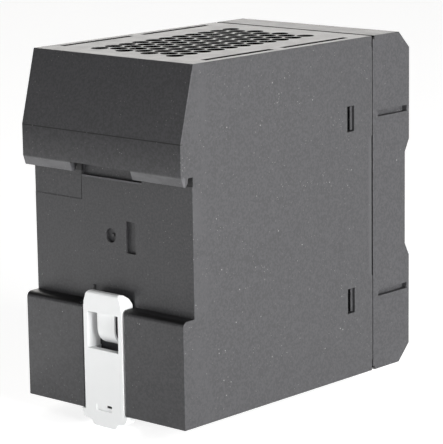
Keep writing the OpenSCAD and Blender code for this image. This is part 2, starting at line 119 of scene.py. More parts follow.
def rectangle(u, v, grow=0.0):
    u0, u1, v0, v1 = u[0] - grow, u[1] + grow, v[0] - grow, v[1] + grow
    return [(u0, v0), (u1, v0), (u1, v1), (u0, v1)]


def block_rings(x, y, z):
    return prism_rings("z", rectangle(x, y), z[0], z[1])


def block(name, x, y, z):
    return loft(name, block_rings(x, y, z))


def circle(centre, radius, steps=32):
    return [(centre[0] + radius * math.cos(2 * math.pi * i / steps),
             centre[1] + radius * math.sin(2 * math.pi * i / steps)) for i in range(steps)]


def arc(centre, radius, start, end, steps=8):
    angles = [math.radians(start + (end - start) * i / steps) for i in range(steps + 1)]
    return [(centre[0] + radius * math.cos(a), centre[1] + radius * math.sin(a)) for a in angles]


def flared(axis, shape, bottom, surface, flare):
    """Rings of a cutter that opens out by flare where it meets the surface.

    shape(grow) gives its outline.
    """
    out = 1 if surface > bottom else -1
    steps = [(bottom, 0), (surface - out * flare, 0), (surface - out * flare * 0.35, flare * 0.25),
             (surface, flare), (surface + out * 1.5, flare)]
    return [[AXES[axis](u, v, w) for u, v in shape(grow)] for w, grow in steps]


def flared_box(axis, u, v, bottom, surface, flare=0.15):
    return flared(axis, lambda grow: rectangle(u, v, grow), bottom, surface, flare)


def flared_hole(axis, centre, radius, bottom, surface, flare=0.2, steps=32):
    return flared(axis, lambda grow: circle(centre, radius + grow, steps), bottom, surface, flare)


def spun(axis, centre, profile, steps=40):
    """Rings of a turned shape; profile is a list of (place along the axis, radius)."""
    return [[AXES[axis](u, v, w) for u, v in circle(centre, radius, steps)] for w, radius in profile]


def baked(obj):
    """Applies an object's modifiers."""
    graph = bpy.context.evaluated_depsgraph_get()
    mesh = bpy.data.meshes.new_from_object(obj.evaluated_get(graph))
    obj.modifiers.clear()
    obj.data = mesh
    return obj


def rounded(obj, width=EDGE, segments=3, angle=25):
    """Rounds every edge sharper than the angle."""
    bevel = obj.modifiers.new("round", "BEVEL")
    bevel.width = width * MM
    bevel.segments = segments
    bevel.limit_method = "ANGLE"
    bevel.angle_limit = math.radians(angle)
    return baked(obj)


def combine(obj, tool, operation):
    step = obj.modifiers.new(operation.lower(), "BOOLEAN")
    step.operation = operation
    step.solver = "MANIFOLD"
    step.object = tool
    baked(obj)
    bpy.data.objects.remove(tool)
    return obj


def cut(obj, *stacks):
    return combine(obj, loft("cutter", *stacks), "DIFFERENCE")


def mirrored(stack, x=1, z=1):
    """The same rings on the other side of the housing or upside down."""
    return [[(p[0] * x, p[1], p[2] * z) for p in ring] for ring in stack]


def on_sides(stack):
    return [mirrored(stack, x) for x in (1, -1)]


def on_four(stack):
    return [mirrored(stack, x, z) for x in (1, -1) for z in (1, -1)]


def shaded(obj, angle=32):
    """Smooth shading that keeps flat faces flat."""
    mesh = obj.data
    mesh.shade_smooth()
    mesh.set_sharp_from_angle(angle=math.radians(angle))
    weighted = obj.modifiers.new("normals", "WEIGHTED_NORMAL")
    weighted.keep_sharp = True
    weighted.weight = 100
    return obj


# ---------------------------------------------------------------- material tools

class Tree:
    """A short way to write a material's nodes.

    A setting that is a socket is linked, anything else is set.
    """

    def __init__(self, material):
        self.tree = material.node_tree
        self.tree.nodes.clear()
        self.place = self.node("TexCoord").outputs["Object"]

    def node(self, kind, inputs=None, **props):
        made = self.tree.nodes.new("ShaderNode" + kind)
        for key, value in props.items():
            setattr(made, key, value)
        for key, value in (inputs or {}).items():
            if isinstance(value, bpy.types.NodeSocket):
                self.tree.links.new(value, made.inputs[key])
            else:
                made.inputs[key].default_value = value
        return made

    def noise(self, size_mm, detail=2.0, rough=0.5, where=None):
        return self.node("TexNoise", {"Vector": where or self.place, "Scale": 1 / (size_mm * MM),
                                      "Detail": detail, "Roughness": rough}).outputs["Fac"]

    def ramp(self, value, low, high, to_low=0.0, to_high=1.0):
        return self.node("MapRange", {"Value": value, "From Min": low, "From Max": high,
                                      "To Min": to_low, "To Max": to_high},
                         interpolation_type="SMOOTHSTEP").outputs["Result"]

    def math(self, operation, a, b=0.0):
        return self.node("Math", {0: a, 1: b}, operation=operation).outputs[0]

    def mix(self, factor, a, b):
        """Blends two colours. The Mix node's colour sockets are found by number: names repeat."""
        return self.node("Mix", {0: factor, 6: a, 7: b}, data_type="RGBA").outputs[2]

    def stretched(self, x, y, z):
        return self.node("Mapping", {"Vector": self.place, "Scale": (x, y, z)}).outputs["Vector"]

    def specks(self, cell_mm, radius_mm, share):
        """Small round dots, in that share of the cells."""
        cells = self.node("TexVoronoi", {"Vector": self.place, "Scale": 1 / (cell_mm * MM)})
        draw = self.node("SeparateColor", {"Color": cells.outputs["Color"]}).outputs["Red"]
        chosen = self.math("GREATER_THAN", draw, 1 - share)
        edge = self.ramp(cells.outputs["Distance"], radius_mm / cell_mm * 0.6, radius_mm / cell_mm, 1, 0)
        return self.math("MULTIPLY", edge, chosen)

    def between(self, value, low, high, soft=0.1):
        """1 inside a range given in millimetres, with a soft border."""
        rise = self.ramp(value, (low - soft) * MM, (low + soft) * MM)
        fall = self.ramp(value, (high - soft) * MM, (high + soft) * MM, 1, 0)
        return self.math("MULTIPLY", rise, fall)

    def all_of(self, *masks):
        """The masks multiplied together."""
        joined = masks[0]
        for mask in masks[1:]:
            joined = self.math("MULTIPLY", joined, mask)
        return joined

    def bump(self, height, depth_mm, strength=1.0, before=None):
        inputs = {"Height": height, "Distance": depth_mm * MM, "Strength": strength}
        if before is not None:
            inputs["Normal"] = before
        return self.node("Bump", inputs).outputs["Normal"]

    def edge(self, radius_mm, sharp=0.25):
        """1 on edges and 0 on flats."""
        soft = self.node("Bevel", {"Radius": radius_mm * MM}, samples=4).outputs["Normal"]
        true = self.node("NewGeometry").outputs["Normal"]
        dot = self.node("VectorMath", {0: soft, 1: true}, operation="DOT_PRODUCT").outputs["Value"]
        return self.ramp(dot, 1 - sharp, 1, 1, 0)

    def finish(self, **inputs):
        shader = self.node("BsdfPrincipled", {k.replace("_", " "): v for k, v in inputs.items()})
        out = self.node("OutputMaterial")
        self.tree.links.new(shader.outputs["BSDF"], out.inputs["Surface"])


def material(name):
    made = bpy.data.materials.new(name)
    made.use_nodes = True
    return made, Tree(made)


def shade(colour, factor):
    return (*[c * factor for c in colour[:3]], 1.0)


def blend_to(colour, other, amount):
    return (*[a + (b - a) * amount for a, b in zip(colour[:3], other[:3])], 1.0)


def moulded(name, colour, rough=0.5, grain=0.28, depth=0.02, dust=0.0, wear=0.3, mottle=0.02,
            specular=0.5, marks=None):
    """Injection-moulded plastic: spark-eroded grain, faint flow marks, dust and worn edges.

    marks adds what belongs to certain places on a piece, painted shade and painted highlights among them.
    """
    made, t = material(name)
    fine = t.noise(grain, 3, 0.6)
    clouds = t.noise(14, 3, 0.55)
    flow = t.noise(3.0, 3, 0.6, t.stretched(1.0, 0.22, 0.6))
    tone = t.mix(t.ramp(clouds, 0.35, 0.65), shade(colour, 1 - mottle), shade(colour, 1 + mottle))
    tone = t.mix(t.ramp(flow, 0.55, 0.8, 0, 0.35), tone, shade(colour, 1 + 2 * mottle))
    tone = t.mix(t.ramp(fine, 0.3, 0.7, 0, 0.3), tone, shade(colour, 1.25))
    tone = t.mix(t.ramp(t.noise(grain * 2.2, 1), 0.35, 0.65, 0, 0.6), tone, shade(colour, 1.7))
    finish = t.ramp(t.noise(5, 3), 0.3, 0.7, rough - 0.02, rough + 0.03)
    if marks:
        tone, finish = marks(t, tone, finish, colour)
    if wear:
        rubbed = t.math("MULTIPLY", t.edge(0.25), t.ramp(t.noise(1.6, 4, 0.65), 0.5, 0.75, 0, wear))
        tone = t.mix(rubbed, tone, blend_to(colour, (1, 1, 1), 0.25))
    if dust:
        lint = blend_to(colour, (0.8, 0.8, 0.78), 0.24)
        patches = t.ramp(t.noise(7, 3), 0.44, 0.64, 0.15, 1.0)
        dots = t.math("ADD", t.specks(0.7, 0.13, dust * 0.6), t.specks(2.1, 0.22, dust * 0.3))
        tone = t.mix(t.math("MULTIPLY", dots, patches), tone, lint)
        settled = t.all_of(t.specks(0.6, 0.14, dust * 1.2), t.edge(1.2, 0.1), patches)
        tone = t.mix(settled, tone, lint)
    normal = t.bump(fine, depth, 0.8, t.bump(t.noise(9, 1), 0.01, 0.5))
    t.finish(Base_Color=tone, Roughness=finish, Normal=normal, Specular_IOR_Level=specular)
    return made


def case_marks_and_painted_light(t, tone, finish, colour):
    """Tones painted at fixed places, so they stay in any light.

    Painted shade: the walls of the vents and slots, the groove behind the lip, the top of the lower
    block and a dark line along the hood's crease. Painted highlights: the lip, the step under the
    notch, and a pale strip beside the joint standing for a faint sink. Also a paler, mottled band
    along each side's edge at the seat, and rub marks on the seat wall.
    """
    split = t.node("SeparateXYZ", {"Vector": t.place})
    y = split.outputs["Y"]
    z = split.outputs["Z"]
    across = t.math("ABSOLUTE", split.outputs["X"])
    up = t.math("ABSOLUTE", z)
    # Painted shade: the walls of the vents and slots in the top and underside are darkened.
    hole_wall_shade = t.all_of(t.between(up, 42.5, 44.9, 0.05), t.between(y, -64.5, -7),
                     t.between(across, -1, TOP_SLOT[1] + 0.05))
    tone = t.mix(hole_wall_shade, tone, shade(colour, 0.1))
    finish = t.math("SUBTRACT", finish, t.math("MULTIPLY", hole_wall_shade, 0.28))
    # Painted highlight: the lip is painted pale.
    lip = t.all_of(t.between(z, SEAT_TOP - 2.3, SEAT_TOP + 0.2), t.between(y, 2.6, 4.5, 0.2),
                   t.ramp(t.noise(2.2, 3, 0.6, t.stretched(0.4, 1, 1)), 0.3, 0.6, 0.5, 1.0))
    tone = t.mix(lip, tone, shade(colour, 2.6))
    # Painted highlight: a bright line along the step under the notch.
    step = t.all_of(t.between(z, NOTCH_FOOT - 0.35, NOTCH_FOOT), t.between(across, -1, NOTCH_HALF),
                    t.between(y, -0.3, 0.1))
    tone = t.mix(step, tone, shade(colour, 5))
    inside = t.between(across, -1, 27.3)
    # Painted shade: the groove behind the lip is darkened.
    groove = t.all_of(t.between(y, -0.5, 2.2), t.between(z, SEAT_TOP - 2.4, SEAT_TOP + 0.2), inside)
    tone = t.mix(groove, tone, shade(colour, 0.25))
    # Painted shade: the top of the lower block is darkened.
    ledge_shade = t.all_of(t.between(y, 0.2, 3.9, 0.2),
                     t.between(z, BLOCK_TOP - 0.9, BLOCK_TOP + 0.2, 0.4), inside)
    tone = t.mix(ledge_shade, tone, shade(colour, 0.15))
    outside = t.between(across, 27.3, 28)
    # A paler, mottled band along each side's edge at the seat.
    pale_rear_edge = t.all_of(t.between(y, -5.5, 0.5, 1.5), outside,
                     t.ramp(t.noise(5, 4, 0.6), 0.4, 0.65, 0, 0.7))
    tone = t.mix(pale_rear_edge, tone, shade(colour, 1.5))
    # Painted shade: a dark line along the hood's crease.
    crease = t.all_of(t.between(z, HOOD_CREASE - 0.22, HOOD_CREASE + 0.06, 0.06),
                      t.ramp(y, 3 * MM, 3.5 * MM))
    tone = t.mix(crease, tone, shade(colour, 0.3))
    lines = t.ramp(t.noise(0.5, 2, 0.5, t.stretched(0.06, 1, 1)), 0.66, 0.76)
    rubs = t.all_of(lines, t.between(z, -17, 14, 1), t.between(y, -0.3, 0.3),
                    t.ramp(t.noise(8, 2), 0.5, 0.62))
    tone = t.mix(rubs, tone, shade(colour, 1.7))
    # Painted highlight: a pale strip beside the joint, standing for a faint sink.
    sink = t.all_of(t.between(y, -69.8, -68.5, 0.3), t.between(z, -18.5, 18.5, 1.2), outside)
    return t.mix(sink, tone, shade(colour, 1.6)), finish


def cover_painted_shade(t, tone, finish, colour):
    """Painted shade: the bevel at the joint and the flanks of the snap hooks are painted dark, and made
    smoother.
    """
    split = t.node("SeparateXYZ", {"Vector": t.place})
    y = split.outputs["Y"]
    up = t.math("ABSOLUTE", split.outputs["Z"])
    # Painted shade on the bevel at the joint and on the snap arms behind the side windows.
    bevel = t.all_of(t.between(y, COVER_REAR - 0.72, COVER_REAR + 1), t.between(up, 44, 44.97, 0.02))
    across = t.math("ABSOLUTE", split.outputs["X"])
    arms = t.all_of(t.between(y, -63, -58), t.between(across, 23, 26.75, 0.05))
    dark = t.math("MAXIMUM", bevel, arms)
    finish = t.math("SUBTRACT", finish, t.math("MULTIPLY", dark, 0.28))
    return t.mix(dark, tone, shade(colour, 0.1)), finish


def metal(name, colour, rough=0.3, brushed=(1.0, 1.0, 1.0), stain=0.25, depth=0.006):
    """Plated or rolled metal with brushing, faint stains and handling marks."""
    made, t = material(name)
    lines = t.noise(0.35, 4, 0.6, t.stretched(*brushed))
    cloud = t.noise(4, 3, 0.6)
    tone = t.mix(t.ramp(cloud, 0.35, 0.7), shade(colour, 1.0), shade(colour, 1 - stain))
    finish = t.ramp(lines, 0.3, 0.7, rough - 0.08, rough + 0.1)
    t.finish(Base_Color=tone, Metallic=1.0, Roughness=finish, Normal=t.bump(lines, depth))
    return made


def lacquer(name, colour, rough=0.25, lumps=1.6, depth=0.06, coat=0.3):
    """Dipped or printed coatings: glossy, slightly lumpy, with a few dust pits."""
    made, t = material(name)
    skin = t.noise(lumps, 2)
    tone = t.mix(t.ramp(t.noise(2.5, 3), 0.35, 0.7), shade(colour, 0.88), shade(colour, 1.1))
    tone = t.mix(t.specks(1.6, 0.08, 0.25), tone, blend_to(colour, (0.8, 0.8, 0.8), 0.5))
    finish = t.ramp(t.noise(0.9, 2), 0.3, 0.7, rough - 0.06, rough + 0.08)
    t.finish(Base_Color=tone, Roughness=finish, Normal=t.bump(skin, depth), Coat_Weight=coat)
    return made


def board(name, colour):
    """Solder mask over copper tracks, with glass weave showing faintly."""
    made, t = material(name)
    tracks = t.node("TexBrick", {"Vector": t.place, "Scale": 160.0, "Mortar Size": 0.03,
                                 "Color1": shade(colour, 1.0), "Color2": shade(colour, 1.25),
                                 "Mortar": shade(colour, 0.7)}).outputs["Color"]
    weave = t.noise(0.5, 2, 0.5, t.stretched(1, 1, 3))
    tone = t.mix(t.ramp(weave, 0.3, 0.7, 0, 0.35), tracks, shade(colour, 1.5))
    tone = t.mix(t.specks(2.4, 0.35, 0.35), tone, (0.55, 0.5, 0.4, 1))
    finish = t.ramp(weave, 0.2, 0.8, 0.28, 0.42)
    t.finish(Base_Color=tone, Roughness=finish, Normal=t.bump(weave, 0.02))
    return made


def wound(name, colour, pitch, along, rough=0.3):
    """A taped coil: fine parallel turns."""
    made, t = material(name)
    turns = t.node("TexWave", {"Vector": t.place, "Scale": 1 / (pitch * MM) / 3.2, "Distortion": 0.6,
                               "Detail": 2.0}, bands_direction=along).outputs["Fac"]
    tone = t.mix(turns, shade(colour, 0.45), shade(colour, 1.15))
    finish = t.ramp(turns, 0, 1, rough + 0.15, rough)
    t.finish(Base_Color=tone, Roughness=finish, Normal=t.bump(turns, 0.12))
    return made


def ferrite(name, colour):
    """Sintered cores: gritty, and paler on their edges."""
    made, t = material(name)
    grit = t.noise(0.3, 4, 0.7)
    tone = t.mix(t.ramp(grit, 0.3, 0.7), shade(colour, 0.75), shade(colour, 1.3))
    chipped = t.math("MULTIPLY", t.edge(0.4), t.ramp(t.noise(1.1, 3), 0.5, 0.7, 0, 0.6))
    tone = t.mix(chipped, tone, shade(colour, 2.2))
    finish = t.ramp(grit, 0.3, 0.7, 0.42, 0.6)
    t.finish(Base_Color=tone, Roughness=finish, Normal=t.bump(grit, 0.03))
    return made


def milky(name, colour):
    """The latch: smooth white plastic, with faint sink marks, a few specks and painted shade inside the
    tool slot.
    """
    made, t = material(name)
    clouds = t.noise(7, 3)
    fine = t.noise(0.35, 2)
    tone = t.mix(t.ramp(clouds, 0.35, 0.65), shade(colour, 0.985), shade(colour, 1.0))
    tone = t.mix(t.specks(2.6, 0.12, 0.06), tone, shade((0.5, 0.5, 0.48), 1))
    split = t.node("SeparateXYZ", {"Vector": t.place})
    # Painted shade: the inside of the tool slot is painted near black.
    slot_shade = t.all_of(t.between(split.outputs["X"], -2.7, -0.8),
                      t.between(split.outputs["Y"], -1, LATCH_FACE - 0.22),
                      t.between(split.outputs["Z"], -43.95, -43.05))
    tone = t.mix(slot_shade, tone, (0.05, 0.05, 0.05, 1))
    normal = t.bump(fine, 0.006, 0.6, t.bump(clouds, 0.08, 0.5))
    t.finish(Base_Color=tone, Roughness=t.ramp(clouds, 0.3, 0.7, 0.32, 0.42), Normal=normal)
    return made


def clear(name, colour):
    """The lamp's lens: clear plastic, slightly uneven."""
    made, t = material(name)
    t.finish(Base_Color=shade(colour, 1), Roughness=t.ramp(t.noise(1.2, 2), 0.3, 0.7, 0.03, 0.12),
             Normal=t.bump(t.noise(2.0, 1), 0.02), Transmission_Weight=0.85, IOR=1.49)
    return made


def blank_label(name, colour):
    """A printed film without lettering: a pale field, a border and two rules."""
    made, t = material(name)
    split = t.node("SeparateXYZ", {"Vector": t.place})
    x, z = split.outputs["X"], split.outputs["Z"]

    def rule(value, at, half):
        off = t.math("ABSOLUTE", t.math("SUBTRACT", value, at * MM))
        return t.ramp(off, half * MM, (half + 0.06) * MM, 1, 0)

    ink = rule(z, 8.3, 0.12)
    rest = ((z, -8.3, 0.12), (x, -18.8, 0.12), (x, 6.8, 0.12), (z, 3.2, 0.08), (z, -2.6, 0.08))
    for value, at, half in rest:
        ink = t.math("MAXIMUM", ink, rule(value, at, half))
    fibre = t.noise(0.6, 3)
    tone = t.mix(t.ramp(fibre, 0.3, 0.7), shade(colour, 0.93), shade(colour, 1.04))
    tone = t.mix(t.math("MULTIPLY", ink, 0.85), tone, (0.06, 0.06, 0.065, 1))
    finish = t.ramp(fibre, 0.3, 0.7, 0.38, 0.5)
    t.finish(Base_Color=tone, Roughness=finish, Normal=t.bump(fibre, 0.01))
    return made


CHARCOAL = (0.0352, 0.0350, 0.0372)
LOOKS = {
    "case_plastic": moulded("case_plastic", CHARCOAL, 0.48, dust=0.4, wear=0.5, marks=case_marks_and_painted_light),
    "cover_plastic": moulded("cover_plastic", shade(CHARCOAL, 1.12), 0.5, dust=0.3, wear=0.4,
                             specular=0.42, marks=cover_painted_shade),
    "latch_plastic": milky("latch_plastic", (0.9, 0.91, 0.91)),
    "terminal_plastic": moulded("terminal_plastic", (0.045, 0.047, 0.05), 0.42, depth=0.012,
                                dust=0.15),
    "spring_steel": metal("spring_steel", (0.62, 0.62, 0.6), 0.28, (0.2, 1, 1)),
    "tinned_copper": metal("tinned_copper", (0.72, 0.7, 0.66), 0.25, (1, 0.2, 1)),
    "trimmer_blue": moulded("trimmer_blue", (0.03, 0.12, 0.4), 0.4, wear=0.2),
    "trimmer_white": moulded("trimmer_white", (0.82, 0.8, 0.76), 0.42, grain=0.2, depth=0.005,
                             wear=0),
    "lamp_green": lacquer("lamp_green", (0.08, 0.5, 0.12), 0.2, coat=0.5),
    "clear_plastic": clear("clear_plastic", (0.86, 0.92, 0.9)),
    "label_film": blank_label("label_film", (0.5, 0.51, 0.52)),
    "board_green": board("board_green", (0.02, 0.13, 0.05)),
    "gold_pins": metal("gold_pins", (0.85, 0.65, 0.28), 0.22),
    "insulation_film": lacquer("insulation_film", (0.72, 0.7, 0.6), 0.4, 5, 0.02, 0.1),
    "fuse_ceramic": lacquer("fuse_ceramic", (0.82, 0.81, 0.77), 0.2, 2.5, 0.02),
    "nickel_plate": metal("nickel_plate", (0.7, 0.69, 0.66), 0.18),
    "clip_brass": metal("clip_brass", (0.8, 0.6, 0.26), 0.3),
    "varistor_coat": lacquer("varistor_coat", (0.03, 0.1, 0.38)),
    "thermistor_coat": lacquer("thermistor_coat", (0.04, 0.07, 0.05), 0.4),
    "film_capacitor_shell": lacquer("film_capacitor_shell", (0.75, 0.5, 0.05), 0.35, 3, 0.03, 0.1),
    "disc_capacitor_coat": lacquer("disc_capacitor_coat", (0.05, 0.26, 0.5)),
    "ferrite": ferrite("ferrite", (0.06, 0.06, 0.065)),
    "enamelled_copper": metal("enamelled_copper", (0.7, 0.25, 0.08), 0.28),
    "winding_tape": wound("winding_tape", (0.75, 0.58, 0.08), 2.0, "X"),
    "moulded_black": moulded("moulded_black", (0.025, 0.025, 0.026), 0.45),
    "epoxy_black": moulded("epoxy_black", (0.02, 0.02, 0.021), 0.5, grain=0.2),
    "capacitor_sleeve": lacquer("capacitor_sleeve", (0.015, 0.02, 0.06), 0.22, 4, 0.03),
    "heatsink_aluminium": metal("heatsink_aluminium", (0.76, 0.77, 0.78), 0.34, (1, 0.12, 1)),
    "tinned_lead": metal("tinned_lead", (0.7, 0.7, 0.68), 0.3),
    "screw_steel": metal("screw_steel", (0.62, 0.63, 0.65), 0.26),
}


SLOT_OF = {row["node"]: row["material_slot"] for row in frame["record"]["subparts"]}
for name, obj in frame["nodes"].items():
    for entry in obj.material_slots:
        entry.material = LOOKS[SLOT_OF[name]]


def place(obj, body, node):
    """A finished piece that stands for a CAD node."""
    obj.data.materials.clear()
    obj.data.materials.append(LOOKS[SLOT_OF[node]])
    shaded(obj)
    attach(obj, body)
    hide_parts(node)


# ---------------------------------------------------------------- case

CASE_OUTLINE = [
    (CASE_FRONT, -HALF_HEIGHT), (REAR, -HALF_HEIGHT),
    *arc((REAR - 1.5, BLOCK_TOP - 1.5), 1.5, 0, 90),
    (0, BLOCK_TOP), (0, SEAT_TOP), (1.4, SEAT_TOP), (1.7, SEAT_TOP - 1.3), (2.4, SEAT_TOP - 2.2),
    (3.2, SEAT_TOP - 2), (HOOD_REAR, SEAT_TOP + 0.4), (HOOD_REAR, HOOD_CREASE),
    (-HOOD_SETBACK, HALF_HEIGHT), (CASE_FRONT, HALF_HEIGHT)]
INNER_TOP = HALF_HEIGHT - WALL
SLOPE = (HOOD_REAR + HOOD_SETBACK) / (HALF_HEIGHT - HOOD_CREASE)
CASE_INNER = [
    (CASE_FRONT - 1, -INNER_TOP), (-2.2, -INNER_TOP), (-2.2, SEAT_TOP + WALL + 0.4),
    (HOOD_REAR - WALL, SEAT_TOP + WALL + 0.4), (HOOD_REAR - WALL, HOOD_CREASE),
    (HOOD_REAR - WALL - (INNER_TOP - HOOD_CREASE) * SLOPE, INNER_TOP), (CASE_FRONT - 1, INNER_TOP)]
VENT_MID = -35.2
VENT_PITCH = 5.0
VENT_RADIUS = 2.3
SLOT_MID = -35.5
SLOT_STEP = 14.75
SLOT_HALF = 12.75
CHANNEL_HALF = 7.25
CHANNEL_FLOOR = -0.6
RING_MARK = (0.6, -0.2)


def vent_places():
    for column in range(-3, 4):
        rows = 10 if column % 2 == 0 else 11
        for row in range(rows):
            yield (column * VENT_PITCH * math.sin(math.radians(60)),
                   VENT_MID + (row - (rows - 1) / 2) * VENT_PITCH)


def make_case():
    case = prism("case", "x", CASE_OUTLINE, -HALF_WIDTH, HALF_WIDTH)
    rounded(case, EDGE, 3, 18)
    side = HALF_WIDTH - WALL
    cut(case, prism_rings("x", CASE_INNER, -side, side))
    pocket = block_rings((9.4, side), (-3.2, REAR - WALL), (-INNER_TOP, BLOCK_TOP - WALL))
    cut(case, *on_sides(pocket))
    vents = [flared_hole("z", spot, VENT_RADIUS, INNER_TOP - 0.5, HALF_HEIGHT, 0.04, 28)
             for spot in vent_places()]
    cut(case, *vents, *[mirrored(v, 1, -1) for v in vents])
    slots = []
    for middle in (SLOT_MID - SLOT_STEP, SLOT_MID + SLOT_STEP):
        slots += on_four(flared_box("z", TOP_SLOT, (middle - SLOT_HALF, middle + SLOT_HALF),
                                    INNER_TOP - 0.5, HALF_HEIGHT, 0.04))
    cut(case, *slots)
    window = flared_box("x", (-62.5, -59.6), (20.9, 27.6), side - 0.5, HALF_WIDTH, 0.06)
    cut(case, *on_four(window))
    # The latch runs in a T-shaped channel.
    channel = [(-CHANNEL_HALF, CHANNEL_FLOOR), (CHANNEL_HALF, CHANNEL_FLOOR),
               (CHANNEL_HALF, REAR - 0.25), (7.4, REAR - 0.05), (7.5, REAR + 1),
               (-7.5, REAR + 1), (-7.4, REAR - 0.05), (-CHANNEL_HALF, REAR - 0.25)]
    cut(case, prism_rings("z", channel, -HALF_HEIGHT - 1, BLOCK_TOP + 0.001))
    cut(case, *on_sides(block_rings((7.1, 8.3), (0.4, 2.0), (-HALF_HEIGHT - 1, -21))))
    cut(case, block_rings((-CHANNEL_HALF, CHANNEL_HALF), (CHANNEL_FLOOR, 0.5), (BLOCK_TOP - 1, -13.6)))
    # Notch in the hooked lip, with a pocket behind it, and a shallow field beside it.
    beyond = HALF_WIDTH + 1
    cut(case, block_rings((-FIELD_EDGE, FIELD_EDGE), (0, REAR + 1), (SEAT_TOP - 3, SEAT_TOP + 0.4)))
    cut(case, flared_box("y", (-NOTCH_HALF, NOTCH_HALF), (NOTCH_FOOT, SEAT_TOP + 0.45), -1.2, 0.0, 0.1))
    cut(case, *on_sides(block_rings((FIELD_EDGE, beyond), (-0.2, 0.5), (SEAT_TOP - 2.4, SEAT_TOP))))
    field = (SEAT_TOP - 9.7, SEAT_TOP - 2.3)
    cut(case, block_rings((FIELD_EDGE, beyond), (-0.15, 0.5), field))
    cut(case, block_rings((FIELD_EDGE, FIELD_EDGE + 0.3), (-0.5, 0.5), field))
    facet = [(0.1, NOTCH_FOOT + 0.05), (0, NOTCH_FOOT), (-0.2, NOTCH_FOOT - 0.3), (0.1, NOTCH_FOOT - 0.3)]
    cut(case, prism_rings("x", facet, -NOTCH_HALF, NOTCH_HALF))
    # An upright recess and a round mark with a nub in the seat wall.
    cut(case, flared_box("y", (-7.9, -4.7), (-4.05, 4.05), -1.0, 0.0, 0.1),
        flared_hole("y", RING_MARK, 1.8, -1.0, 0.0, 0.15, 40))
    nub = loft("nub", spun("y", RING_MARK, [(-1.3, 0.5), (-0.72, 0.5), (-0.6, 0.38)], 20))
    combine(case, rounded(nub, 0.05, 2), "UNION")
    # The joint opens a little wider over the middle of each side, and over the top and underside.
    cut(case, *on_sides(block_rings((side - 1, beyond), (CASE_FRONT - 1, CASE_FRONT + 0.4),
                                    (-JOINT_HALF, JOINT_HALF))))
    wide = block_rings((-beyond, beyond), (CASE_FRONT - 1, CASE_FRONT + 0.3),
                       (INNER_TOP - 1, HALF_HEIGHT + 1))
    cut(case, wide, mirrored(wide, 1, -1))
    guides = []
    for x in ((18.4, 19.25), (21.15, 22.2)):
        guide = block_rings(x, (-62, -1.5), (41.2, INNER_TOP + 0.5))
        guides += [mirrored(guide, 1, z) for z in (1, -1)]
    combine(case, loft("guides", *guides), "UNION")
    place(case, "housing", "main_case")


make_case()


# ---------------------------------------------------------------- cover

BAND_DEPTH = 1.8
CORNER_Y = -81.5
COVER_OUTLINE = [
    (COVER_REAR, -HALF_HEIGHT), (COVER_REAR, HALF_HEIGHT), (CORNER_Y, HALF_HEIGHT), (FRONT, 40.5),
    (FRONT, 15.9), (FRONT + BAND_DEPTH, 12.5), (FRONT + BAND_DEPTH, -12.5), (FRONT, -15.9),
    (FRONT, -40.5), (CORNER_Y, -HALF_HEIGHT)]
COVER_INNER = [
    (COVER_REAR + 1, -43), (COVER_REAR + 1, 43), (-80.7, 43), (-84, 39.7), (-84, 15.3), (-82.2, 11.9),
    (-82.2, -11.9), (-84, -15.3), (-84, -39.7), (-80.7, -43)]
TERMINAL_MID = 28.4
POLES = {"output": 4, "input": 3}
POLE_PITCH = 10


def terminal_half_width(poles):
    return (poles * POLE_PITCH + 1.8) / 2


def ring_piece(inset, y):
    """A rim set in from the cover's edge."""
    rim = block("rim", (-HALF_WIDTH + inset, HALF_WIDTH - inset), y,
                (-HALF_HEIGHT + inset, HALF_HEIGHT - inset))
    return cut(rim, block_rings((-24.2, 24.2), (y[0] - 1, y[1] + 1), (-41.7, 41.7)))


def make_cover():
    cover = rounded(prism("cover", "x", COVER_OUTLINE, -HALF_WIDTH, HALF_WIDTH), EDGE, 3, 18)
    side = HALF_WIDTH - WALL
    cut(cover, prism_rings("x", COVER_INNER, -side, side))
    edge = prism_rings("x", [(COVER_REAR - 0.8, 45.1), (COVER_REAR + 0.2, 45.1), (COVER_REAR + 0.2, 44.2)],
                       -HALF_WIDTH - 1, HALF_WIDTH + 1)
    cut(cover, edge, mirrored(edge, 1, -1))
    combine(cover, ring_piece(1.5, (COVER_REAR - 2, COVER_REAR)), "UNION")
    combine(cover, ring_piece(2.1, (COVER_REAR - 0.5, COVER_REAR + 2)), "UNION")
    arm = block_rings((23.7, 25.3), (COVER_REAR - 2, -58.8), SNAP_Z)
    combine(cover, loft("arms", *on_four(arm)), "UNION")
    hook = prism_rings("z", [(25.2, -60.9), (26.85, -61.55), (26.85, -62.3), (25.2, -62.3)], *SNAP_Z)
    combine(cover, loft("hooks", *on_four(hook)), "UNION")
    side_slot = flared_box("x", (-84.9, -72.5), (23.45, 25.05), HALF_WIDTH - 1.5, HALF_WIDTH, 0.05)
    cut(cover, *on_four(side_slot))
    openings = []
    for name, sign in (("output", 1), ("input", -1)):
        half = terminal_half_width(POLES[name]) + 0.2
        z = sorted((sign * (TERMINAL_MID - 8.6), sign * (TERMINAL_MID + 8.6)))
        openings.append(flared_box("y", (-half, half), z, FRONT + 3, FRONT, 0.25))
    cut(cover, *openings)
    face = FRONT + BAND_DEPTH
    cut(cover, flared_hole("y", ADJUSTER, 2.1, face + 3, face, 0.3, 40),
        flared_hole("y", LAMP, 1.55, face + 3, face, 0.2, 40),
        flared_box("y", (-20, 8), (-9.5, 9.5), face + 0.3, face, 0.1))
    place(cover, "housing", "front_cover")


make_cover()

label = rounded(block("label", (-19.8, 7.8), (-84.15, -83.9), (-9.3, 9.3)), 0.08, 2)
place(label, "housing", "front_label")


# ---------------------------------------------------------------- rail latch

LATCH_HALF = 6.7
LATCH_BOTTOM = -45.5
FOOT_TOP = -45.05
TONGUE_HALF = 3.0
TONGUE_CENTRE = (-1.2, -23.7)
HEAD_FOOT = -18.6


def foot_half():
    return [(8, FOOT_TOP), (7.9, FOOT_TOP - 1.1), *arc((6.1, FOOT_TOP - 1), 1.5, 0, -60, 5),
            *arc((3, FOOT_TOP - 2.5), 1.5, -10, -80, 5)]


